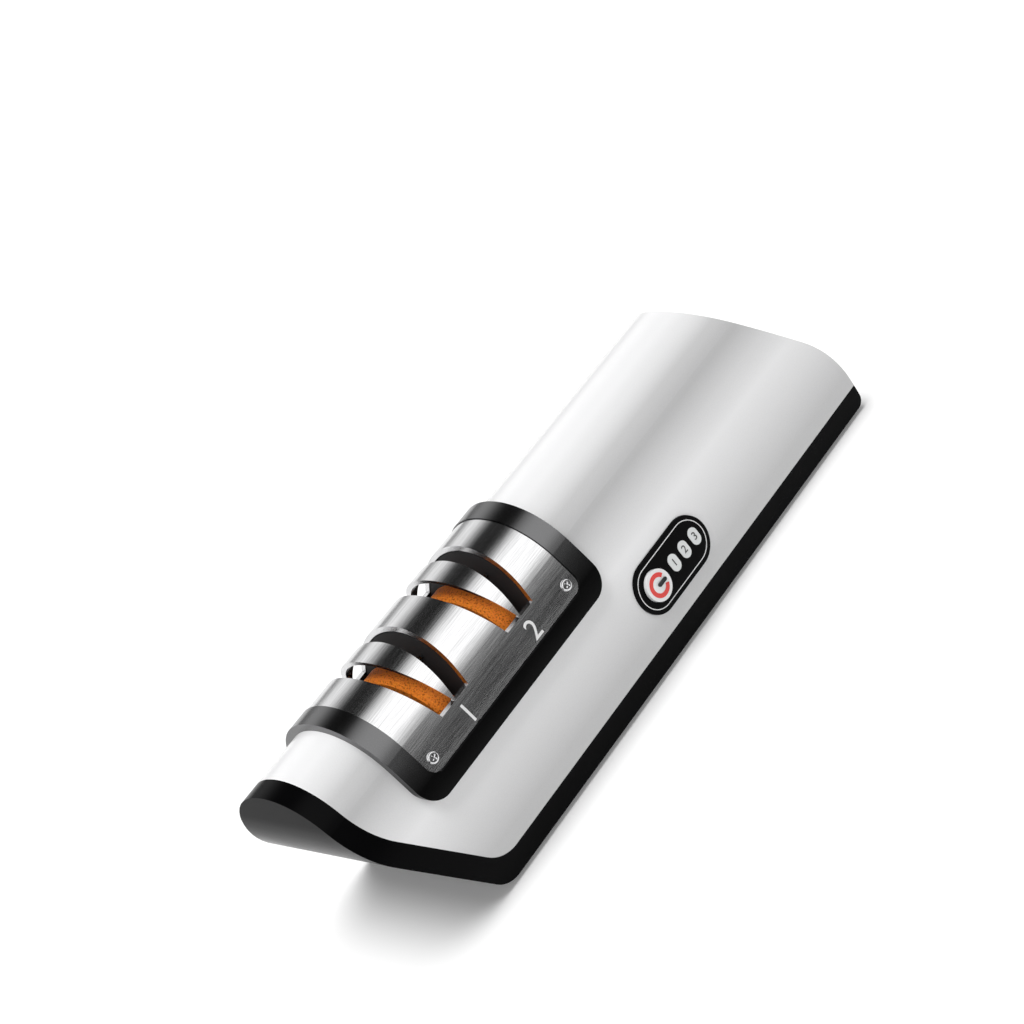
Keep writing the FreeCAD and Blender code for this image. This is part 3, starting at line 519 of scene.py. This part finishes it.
LENS = Finish("lens_clear", (0.74, 0.76, 0.755), 0.18, coat=0.5)
WHITE = Finish("button_white", (0.84, 0.84, 0.84), 0.25, coat=0.4)
RUBBER = Finish("foot_rubber", (0.03, 0.03, 0.03), 0.85)
PRINT_RED = Finish("print_red", (0.75, 0.03, 0.02), 0.3, coat=0.3)
PRINT_DARK = Finish("print_dark", (0.02, 0.02, 0.022), 0.4)
PRINT_WHITE = Finish("print_white", (0.80, 0.80, 0.80), 0.4)

NODE_FINISH: dict[str, Finish] = {
    "upper_shell": PEARL, "base_tray": BLACK, "head_frame": BEZEL, "slot_cover": COVER,
    "cover_screws": BRIGHT, "blade_guide": MATTE, "guide_springs": SPRING, "near_bearing": ZINC,
    "far_bearing": ZINC, "motor_can": ZINC, "motor_magnet": FERRITE, "motor_end_bell": MATTE,
    "motor_terminals": BRASS, "chassis": GREY, "battery_cells": CELL, "cell_cradle": GREY,
    "charging_socket": ZINC, "charging_board": BOARD, "button_panel": BLACK, "indicator_lenses": LENS,
    "control_board": BOARD, "tact_switch": ZINC, "indicator_lamps": LENS, "rubber_feet": RUBBER,
    "base_screws": ZINC, "drive_shaft": SHAFT, "coarse_wheel": GRIT, "coarse_hub": MATTE,
    "fine_wheel": GRIT, "fine_hub": MATTE, "shaft_spacer": MATTE, "shaft_coupling": BRASS,
    "motor_armature": COPPER, "power_button": WHITE, "switch_plunger": MATTE,
}


@dataclass(frozen=True)
class Arch:
    """The bar's arched section: a crown arc between two side arcs, lifted by the feet, in metres."""

    half_width: float = 26.0 * MM
    height: float = 52.0 * MM
    crown: float = 18.0 * MM
    lift: float = 1.2 * MM

    @property
    def reach(self) -> float:
        """Distance of a side arc's centre from the middle plane."""
        rise = self.height - self.crown
        squares = self.half_width**2 + rise**2 - self.crown**2
        return squares / (2 * (self.half_width - self.crown)) - self.half_width

    @property
    def side(self) -> float:
        """Radius of a side arc."""
        return self.reach + self.half_width

    def on_wall(self, x: float, height: float, up: float, out: float, side: int = -1) -> Vector:
        """Finds a point on or outside a side arc.

        Args:
            x: Place along the bar.
            height: Height of the wall point that the piece is centred on, without the feet.
            up: Distance from there up the wall, along the arc.
            out: Distance outwards from the wall.
            side: -1 for the front wall and 1 for the back wall.

        Returns:
            The point.
        """
        angle = math.asin(height / self.side) + up / self.side
        radius = self.side + out
        across = radius * math.cos(angle) - self.reach
        return Vector((x, side * across, radius * math.sin(angle) + self.lift))

    def outward(self, x: float, height: float, out: float, side: int = -1) -> Vector:
        """Finds the direction that points square out of a side arc.

        Args:
            x: Place along the bar.
            height: Height of the wall point, without the feet.
            out: Distance outwards from the wall.
            side: -1 for the front wall and 1 for the back wall.

        Returns:
            The direction, of length 1.
        """
        near = self.on_wall(x, height, 0.0, out, side)
        far = self.on_wall(x, height, 0.0, out + MM, side)
        return (far - near) / MM


ARCH = Arch()


class Shop:
    """Shared steps for modelling with operators."""

    @staticmethod
    def clear_selection() -> None:
        """Deselects every object."""
        if bpy.context.object and bpy.context.object.mode != "OBJECT":
            bpy.ops.object.mode_set(mode="OBJECT")
        bpy.ops.object.select_all(action="DESELECT")

    @staticmethod
    def take(name: str) -> bpy.types.Object:
        """Names the piece just added, and its mesh.

        Args:
            name: The piece's name.

        Returns:
            The piece.
        """
        piece = bpy.context.object
        piece.name = name
        piece.data.name = name
        return piece

    @staticmethod
    def edit_all() -> None:
        """Opens the active piece for editing, with all of it selected."""
        bpy.ops.object.mode_set(mode="EDIT")
        bpy.ops.mesh.select_all(action="SELECT")

    @staticmethod
    def seal() -> None:
        """Merges the edited piece's doubles, turns its faces outwards and closes the edit."""
        bpy.ops.mesh.select_all(action="SELECT")
        bpy.ops.mesh.remove_doubles(threshold=WELD)
        bpy.ops.mesh.normals_make_consistent(inside=False)
        bpy.ops.object.mode_set(mode="OBJECT")

    @staticmethod
    def wrap(piece: bpy.types.Object, to_place: Callable[[Vector], Vector]) -> None:
        """Moves each vertex to its place on the object and leaves the piece at the origin.

        Args:
            piece: The piece, drawn flat with its outward side along +Z.
            to_place: Gives the place of a flat point.
        """
        flat = piece.matrix_world.copy()
        piece.matrix_world = Matrix.Identity(4)
        for vertex in piece.data.vertices:
            vertex.co = to_place(flat @ vertex.co)
        piece.data.update()

    @staticmethod
    def finish(piece: bpy.types.Object, finish: Finish, slot: str, body: Body) -> None:
        """Dresses a piece and ties it to its body.

        Args:
            piece: The finished piece.
            finish: Its finish.
            slot: Not used.
            body: The body that it rides on.
        """
        piece.data.materials.clear()
        piece.data.materials.append(finish.material())
        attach(piece, body.value)
        LOG.info("%s rides on %s with %s", piece.name, body.value, finish.name)


@dataclass
class Studio:
    """Pale floor, soft lights, world and camera.

    The sky gives the world's level at angles round the bar in degrees, from the back over the top
    at 90 to the front at 180.
    """

    camera_place: Triple = (-0.31712, -0.47609, 0.36869)
    camera_right: Triple = (0.54630233, -0.68770482, -0.47813789)
    camera_up: Triple = (0.68179147, 0.03351948, 0.73077824)
    lens: float = 94.48
    sensor: float = 36.0
    floor_size: float = 8.0
    floor_grey: float = 0.93
    floor_roughness: float = 0.9
    floor_lift: float = 0.12
    ambient: float = 0.26
    light_spread: float = math.radians(38.0)
    key_strength: float = 2.65
    key_direction: Triple = (-0.18, 0.10, 1.0)
    fill_strength: float = 0.5
    fill_direction: Triple = (-0.5, -1.0, 0.35)
    sky: Stops = (
        (-180.0, 0.3), (-90.0, 0.3), (0.0, 0.26), (10.0, 0.4), (22.0, 1.0),
        (36.0, 1.0), (50.0, 0.3), (60.0, 0.02), (90.0, 0.02), (100.0, 0.9),
        (112.0, 1.4), (144.0, 1.4), (167.0, 0.04), (180.0, 0.04),
    )

    def build(self) -> None:
        """Makes the whole studio."""
        self.add_camera()
        self.add_floor()
        self.add_world()
        self.add_soft_light("key_soft_light", self.key_direction, self.key_strength)
        self.add_soft_light("fill_soft_light", self.fill_direction, self.fill_strength)
        bpy.context.scene.view_settings.view_transform = "Standard"

    def add_camera(self) -> None:
        """Puts the camera at the photograph's viewing angle."""
        right, up = Vector(self.camera_right), Vector(self.camera_up)
        turn = Matrix((right, up, right.cross(up))).transposed().to_4x4()
        data = bpy.data.cameras.new("camera")
        data.lens = self.lens
        data.sensor_width = self.sensor
        camera = bpy.data.objects.new("camera", data)
        camera.matrix_world = Matrix.Translation(self.camera_place) @ turn
        bpy.context.scene.collection.objects.link(camera)
        bpy.context.scene.camera = camera

    def add_floor(self) -> None:
        """Lays a plain pale floor that the camera sees as white and that keeps the shadow."""
        Shop.clear_selection()
        bpy.ops.mesh.primitive_plane_add(size=self.floor_size, location=(0.0, 0.0, 0.0))
        floor = Shop.take("studio_floor")
        made = bpy.data.materials.new("floor_pale")
        made.use_nodes = True
        shader = made.node_tree.nodes["Principled BSDF"]
        shader.inputs["Base Color"].default_value = (*(self.floor_grey,) * 3, 1.0)
        shader.inputs["Roughness"].default_value = self.floor_roughness
        shader.inputs["Specular IOR Level"].default_value = 0.0
        shader.inputs["Emission Strength"].default_value = 1.0
        graph = Graph(made.node_tree)
        lift = graph.add("LightPath", output="Is Camera Ray") * self.floor_lift
        made.node_tree.links.new(lift.socket, shader.inputs["Emission Color"])
        floor.data.materials.append(made)

    def add_world(self) -> None:
        """Makes a surround that is white to the camera and shows gloss long bands beside the bar."""
        world = bpy.data.worlds.new("studio")
        bpy.context.scene.world = world
        world.use_nodes = True
        world.node_tree.nodes.clear()
        graph = Graph(world.node_tree)
        way = graph.add("TexCoord", output="Generated")
        across = graph.add("SeparateXYZ", values={"Vector": way}, output="Y")
        up = graph.add("SeparateXYZ", values={"Vector": way}, output="Z")
        turn = up.angle_over(across) / (2 * math.pi) + 0.5
        peak = max(level for _, level in self.sky)
        stops = (((degrees + 180.0) / 360.0, level / peak) for degrees, level in self.sky)
        bands = graph.ramp(turn, *stops) * peak
        glossy = graph.add("LightPath", output="Is Glossy Ray")
        camera = graph.add("LightPath", output="Is Camera Ray")
        soft = glossy * (bands - self.ambient) + self.ambient
        seen = camera * (1.0 - soft) + soft
        light = graph.add("Background", values={"Color": seen, "Strength": 1.0})
        out = world.node_tree.nodes.new("ShaderNodeOutputWorld")
        world.node_tree.links.new(light.socket, out.inputs["Surface"])

    def add_soft_light(self, name: str, direction: Triple, strength: float) -> None:
        """Adds a broad soft light that leaves no glint of its own.

        Args:
            name: The light's name.
            direction: Direction from the object towards the light.
            strength: Its strength.
        """
        data = bpy.data.lights.new(name, "SUN")
        data.energy = strength
        data.angle = self.light_spread
        light = bpy.data.objects.new(name, data)
        light.rotation_euler = Vector(direction).to_track_quat("Z", "Y").to_euler()
        light.visible_glossy = False
        bpy.context.scene.collection.objects.link(light)


@dataclass
class CoverScrews:
    """Pan-head screws with a cross recess at the corners of the slotted cover.

    The recess's reach and width are shares of the head's radius.
    """

    radius: float = 1.45 * MM
    head: float = 0.75 * MM
    sunk: float = 0.2 * MM
    corner: float = 0.3 * MM
    corner_steps: int = 4
    facets: int = 48
    recess_depth: float = 0.45 * MM
    recess_reach: float = 1.15
    recess_width: float = 0.28
    smooth_angle: float = math.radians(35)
    height: float = 35.6 * MM
    proud: float = 1.8 * MM
    along: tuple[float, float] = (-66.8 * MM, -10.1 * MM)
    first_twist: float = 0.4
    next_twist: float = 0.9

    def build(self) -> None:
        """Models one head and sets a copy at each corner."""
        head = self.model_head()
        corners = [(x, side) for x in self.along for side in (-1, 1)]
        for count, (x, side) in enumerate(corners):
            screw = head.copy()
            screw.data = head.data.copy()
            screw.name = screw.data.name = f"cover_screw_{count}"
            bpy.context.scene.collection.objects.link(screw)
            seat = ARCH.on_wall(x, self.height, 0.0, self.proud, side)
            out = ARCH.outward(x, self.height, self.proud, side)
            turn = Vector((0.0, 0.0, 1.0)).rotation_difference(out).to_matrix().to_4x4()
            twist = Matrix.Rotation(self.first_twist + self.next_twist * count, 4, "Z")
            screw.data.transform(Matrix.Translation(seat) @ turn @ twist)
            Shop.finish(screw, BRIGHT, "bright_screw", Body.HOUSING)
        bpy.data.objects.remove(head)

    def model_head(self) -> bpy.types.Object:
        """Models one screw head at the origin, sunk a little under Z 0.

        Returns:
            The head.
        """
        Shop.clear_selection()
        middle = self.head / 2 - self.sunk
        bpy.ops.mesh.primitive_cylinder_add(vertices=self.facets, radius=self.radius, depth=self.head,
                                            location=(0.0, 0.0, middle))
        head = Shop.take("screw_head")
        bpy.ops.object.transform_apply(location=True)
        bevel = head.modifiers.new("round", "BEVEL")
        bevel.width = self.corner
        bevel.segments = self.corner_steps
        bpy.ops.object.modifier_apply(modifier=bevel.name)
        arm = (self.radius * self.recess_reach, self.radius * self.recess_width, self.recess_depth * 2)
        for turn in (0.0, math.pi / 2):
            bpy.ops.object.select_all(action="DESELECT")
            bpy.ops.mesh.primitive_cube_add(size=1.0, location=(0.0, 0.0, self.head - self.sunk),
                                            scale=arm, rotation=(0.0, 0.0, turn))
            cutter = bpy.context.object
            bpy.context.view_layer.objects.active = head
            slot = head.modifiers.new("recess", "BOOLEAN")
            slot.object = cutter
            slot.operation = "DIFFERENCE"
            bpy.ops.object.modifier_apply(modifier=slot.name)
            bpy.data.objects.remove(cutter)
        head.select_set(True)
        bpy.ops.object.shade_smooth_by_angle(angle=self.smooth_angle)
        return head


@dataclass
class Markings:
    """Raised plain numerals on the cover and the lenses, the panel's line, and the button's symbol."""

    thickness: float = 0.06 * MM
    cover_height: float = 35.2 * MM
    cover_proud: float = 1.8 * MM
    stage_places: tuple[float, float] = (-52.3 * MM, -24.8 * MM)
    stage_size: float = 7.2 * MM
    lens_places: Triple = (17.6 * MM, 22.35 * MM, 27.1 * MM)
    lens_proud: float = 0.65 * MM
    lens_size: float = 3.0 * MM
    panel_place: float = 16.9 * MM
    panel_height: float = 17.4 * MM
    panel_radius: float = 6.9 * MM
    panel_half: float = 7.8 * MM
    line_inset: float = 1.15 * MM
    line_width: float = 0.22 * MM
    line_proud: float = 0.48 * MM
    line_facets: int = 128
    line_centred: float = 1e-9
    button_place: float = 9.5 * MM
    button_proud: float = 1.4 * MM
    ring_middle: float = 2.6 * MM
    ring_width: float = 1.15 * MM
    ring_start: float = math.radians(27)
    ring_steps: int = 72
    bar_middle: float = 1.2 * MM
    bar_length: float = 3.2 * MM
    bar_width: float = 0.95 * MM
    bar_corner: float = 0.42 * MM
    bar_steps: int = 6

    def build(self) -> None:
        """Makes every marking."""
        for number, x in enumerate(self.stage_places, start=1):
            self.numeral(f"stage_numeral_{number}", str(number), x, self.cover_height, self.cover_proud,
                         self.stage_size, PRINT_WHITE, "brushed_cover")
        for number, x in enumerate(self.lens_places, start=1):
            self.numeral(f"lens_numeral_{number}", str(number), x, self.panel_height, self.lens_proud,
                         self.lens_size, PRINT_DARK, "lens_clear")
        self.panel_line()
        self.power_ring()
        self.power_bar()

    def numeral(self, name: str, text: str, x: float, height: float, out: float, size: float,
                finish: Finish, slot: str) -> None:
        """Sets one numeral on the front wall.

        Args:
            name: The piece's name.
            text: The numeral.
            x: Its place along the bar.
            height: The wall height of its middle.
            out: How far out of the wall the surface under it lies.
            size: Its height.
            finish: Its finish.
            slot: Passed on to Shop.finish, which does not use it.
        """
        Shop.clear_selection()
        bpy.ops.object.text_add(location=(0.0, 0.0, 0.0))
        piece = bpy.context.object
        piece.data.body = text
        piece.data.size = size
        piece.data.align_x = "CENTER"
        piece.data.align_y = "CENTER"
        piece.data.extrude = self.thickness
        bpy.ops.object.convert(target="MESH")
        Shop.take(name)
        Shop.wrap(piece, lambda p: ARCH.on_wall(x + p.x, height, p.y, out + p.z))
        Shop.finish(piece, finish, slot, Body.HOUSING)

    def on_panel(self, point: Vector) -> Vector:
        """Finds the place of a flat point on the button panel's face."""
        return ARCH.on_wall(self.panel_place + point.x, self.panel_height, point.y,
                            self.line_proud + point.z)

    def on_button(self, point: Vector) -> Vector:
        """Finds the place of a flat point on the button's face.

        Args:
            point: The flat point, with X along the bar and Z outwards.

        Returns:
            The place.
        """
        seat = ARCH.on_wall(self.button_place, self.panel_height, 0.0, self.button_proud)
        out = ARCH.outward(self.button_place, self.panel_height, self.button_proud)
        along = Vector((1.0, 0.0, 0.0))
        return seat + along * point.x + out.cross(along) * point.y + out * point.z

    def panel_line(self) -> None:
        """Prints the thin line that runs inside the edge of the button panel."""
        Shop.clear_selection()
        bpy.ops.mesh.primitive_circle_add(vertices=self.line_facets, fill_type="NGON",
                                          radius=self.panel_radius - self.line_inset)
        line = Shop.take("panel_line")
        for vertex in line.data.vertices:
            way = vertex.co.x if abs(vertex.co.x) > self.line_centred else 1.0
            vertex.co.x += math.copysign(self.panel_half, way)
        Shop.edit_all()
        bpy.ops.mesh.inset(thickness=self.line_width)
        bpy.ops.mesh.delete(type="FACE")
        bpy.ops.mesh.select_all(action="SELECT")
        bpy.ops.mesh.extrude_region_move(TRANSFORM_OT_translate={"value": (0.0, 0.0, self.thickness)})
        Shop.seal()
        Shop.wrap(line, self.on_panel)
        Shop.finish(line, PRINT_WHITE, "button_white", Body.HOUSING)

    def power_ring(self) -> None:
        """Prints the open ring on the button, by spinning its section round from one end to the other."""
        Shop.clear_selection()
        bpy.ops.mesh.primitive_plane_add(size=1.0, location=(0.0, 0.0, 0.0))
        ring = Shop.take("power_ring")
        bpy.ops.object.mode_set(mode="EDIT")
        bpy.ops.mesh.delete(type="ONLY_FACE")
        bpy.ops.object.mode_set(mode="OBJECT")
        inner, outer = self.ring_middle - self.ring_width / 2, self.ring_middle + self.ring_width / 2
        direction = Vector((math.cos(self.ring_start), math.sin(self.ring_start), 0.0))
        section = [(inner, 0.0), (outer, 0.0), (inner, self.thickness), (outer, self.thickness)]
        for vertex, (radius, z) in zip(ring.data.vertices, section):
            vertex.co = direction * radius + Vector((0.0, 0.0, z))
        Shop.edit_all()
        bpy.ops.mesh.edge_face_add()
        bpy.ops.mesh.spin(steps=self.ring_steps, angle=2 * self.ring_start - 2 * math.pi,
                          center=(0.0, 0.0, 0.0), axis=(0.0, 0.0, 1.0))
        Shop.seal()
        Shop.wrap(ring, self.on_button)
        Shop.finish(ring, PRINT_RED, "button_white", Body.BUTTON)

    def power_bar(self) -> None:
        """Prints the bar from the button's middle to the ring's gap."""
        Shop.clear_selection()
        bpy.ops.mesh.primitive_cube_add(size=1.0, location=(self.bar_middle, 0.0, self.thickness / 2),
                                        scale=(self.bar_length, self.bar_width, self.thickness))
        bar = Shop.take("power_bar")
        bpy.ops.object.transform_apply(location=True, rotation=True, scale=True)
        bpy.ops.object.mode_set(mode="EDIT")
        bpy.ops.mesh.select_all(action="DESELECT")
        bpy.ops.object.mode_set(mode="OBJECT")
        for edge in bar.data.edges:
            first, second = (bar.data.vertices[i].co.z for i in edge.vertices)
            edge.select = abs(first - second) > self.thickness / 2
        bpy.ops.object.mode_set(mode="EDIT")
        bpy.ops.mesh.select_mode(type="EDGE")
        bpy.ops.mesh.bevel(offset=self.bar_corner, segments=self.bar_steps)
        bpy.ops.object.mode_set(mode="OBJECT")
        Shop.wrap(bar, self.on_button)
        Shop.finish(bar, PRINT_DARK, "button_white", Body.BUTTON)


def dress_nodes(nodes: dict[str, bpy.types.Object]) -> None:
    """Gives every CAD node its finish.

    Args:
        nodes: The CAD nodes by name.
    """
    for name, node in nodes.items():
        material = NODE_FINISH[name].material()
        if not node.material_slots:
            node.data.materials.append(material)
        for holder in node.material_slots:
            holder.material = material
        LOG.info("%s wears %s", name, material.name)


def main() -> None:
    """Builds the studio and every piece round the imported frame."""
    logging.basicConfig(level=logging.INFO, format="%(message)s")
    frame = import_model()
    Studio().build()
    dress_nodes(frame["nodes"])
    CoverScrews().build()
    Markings().build()


if __name__ == "__main__":
    main()
